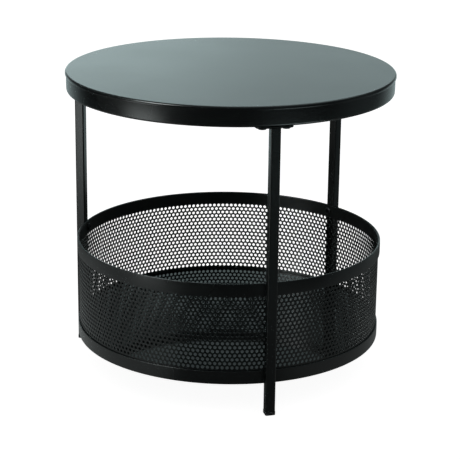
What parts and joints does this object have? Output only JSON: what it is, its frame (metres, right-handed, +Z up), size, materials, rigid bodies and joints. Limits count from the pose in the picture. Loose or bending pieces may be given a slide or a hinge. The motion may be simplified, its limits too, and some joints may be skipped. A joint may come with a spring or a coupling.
{
  "type": "side table",
  "caption": "Round black steel side table: flat top on slim square legs that stand outside a perforated storage basket.",
  "frame": {"origin": "on the ground, at the centre of the table", "axes": "+Z up through the centre of the round top; the front leg stands on -Y, the right leg towards +X +Y, the left leg towards -X +Y"},
  "size_m": [0.4499, 0.4504, 0.416],
  "materials": {
    "top_coat": "smooth semi-gloss black powder coat",
    "frame_coat": "satin black powder coat",
    "basket_coat": "satin black powder coat",
    "foot_plastic": "matt moulded black plastic",
    "black_screws": "black oxide",
    "zinc_steel": "bright zinc plate"
  },
  "bodies": {
    "root": {"top_panel": "top_coat", "top_rim": "frame_coat", "basket_top_ring": "frame_coat", "basket_bottom_ring": "frame_coat", "basket_wall": "basket_coat", "basket_floor": "basket_coat", "front_leg": "frame_coat", "right_leg": "frame_coat", "left_leg": "frame_coat", "front_foot": "foot_plastic", "right_foot": "foot_plastic", "left_foot": "foot_plastic", "front_leg_plate": "frame_coat", "right_leg_plate": "frame_coat", "left_leg_plate": "frame_coat", "front_top_screws": "black_screws", "right_top_screws": "black_screws", "left_top_screws": "black_screws", "front_weld_nuts": "zinc_steel", "right_weld_nuts": "zinc_steel", "left_weld_nuts": "zinc_steel", "front_basket_screws": "black_screws", "right_basket_screws": "black_screws", "left_basket_screws": "black_screws", "front_rivet_nuts": "zinc_steel", "right_rivet_nuts": "zinc_steel", "left_rivet_nuts": "zinc_steel"}
  },
  "joints": []
}
